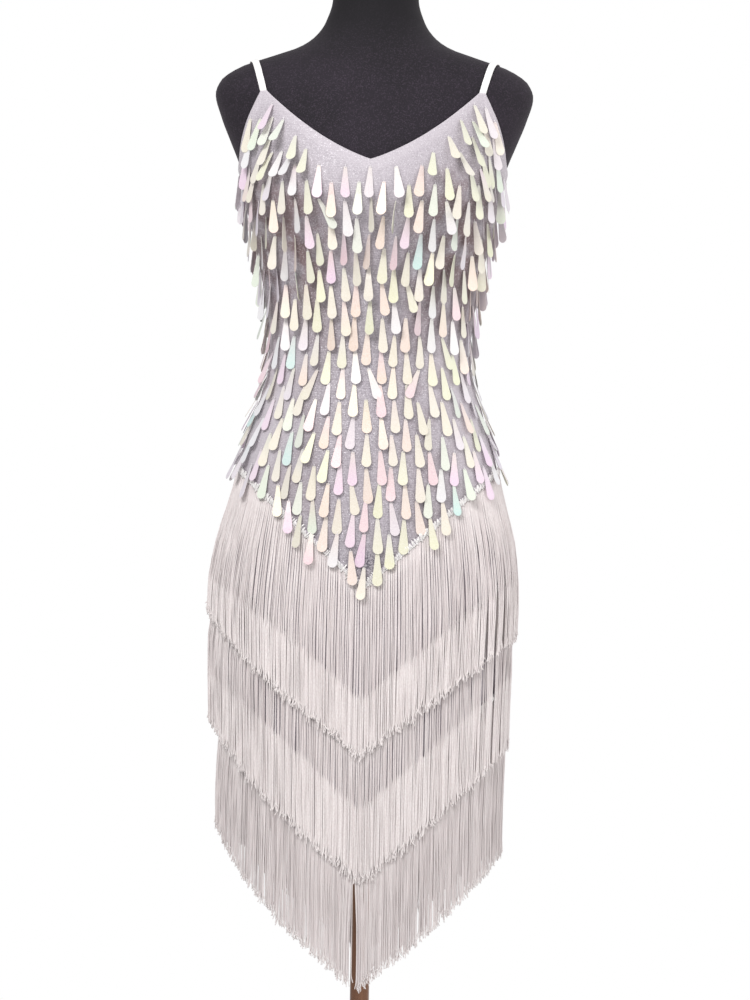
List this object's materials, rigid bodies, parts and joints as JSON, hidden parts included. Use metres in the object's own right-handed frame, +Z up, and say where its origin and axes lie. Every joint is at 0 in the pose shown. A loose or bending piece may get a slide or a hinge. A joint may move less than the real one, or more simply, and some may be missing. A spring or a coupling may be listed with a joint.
{
  "type": "fringed paillette mini dress on a dress form",
  "caption": "Strappy V-neck mini dress of glitter knit hung with teardrop paillettes above tiers of long chevron fringe, on a limbless dress form with pole and round base.",
  "frame": {"origin": "centre of the base plate's underside, on the floor", "axes": "+Z up along the pole, -Y the dress's front, +X the wearer's left"},
  "size_m": [0.3818, 0.34, 1.512],
  "materials": {
    "jersey": "black knitted cover, matte",
    "bronze": "copper-brown, glossy",
    "base_enamel": "black, satin",
    "glitter_knit": "lilac-grey fine knit with metallic glints",
    "strap_elastic": "white, smooth",
    "fringe_yarn": "pinkish cream rayon strands, soft sheen",
    "paillette": "pearly, iridescent"
  },
  "bodies": {
    "root": {"form_torso": "jersey", "form_collar": "bronze", "form_pole": "bronze", "base_hub": "bronze", "base_plate": "base_enamel", "slip_front": "glitter_knit", "slip_back": "glitter_knit", "strap_left": "strap_elastic", "strap_right": "strap_elastic", "fringe_upper": "fringe_yarn", "fringe_middle": "fringe_yarn", "fringe_lower": "fringe_yarn"}
  },
  "joints": []
}
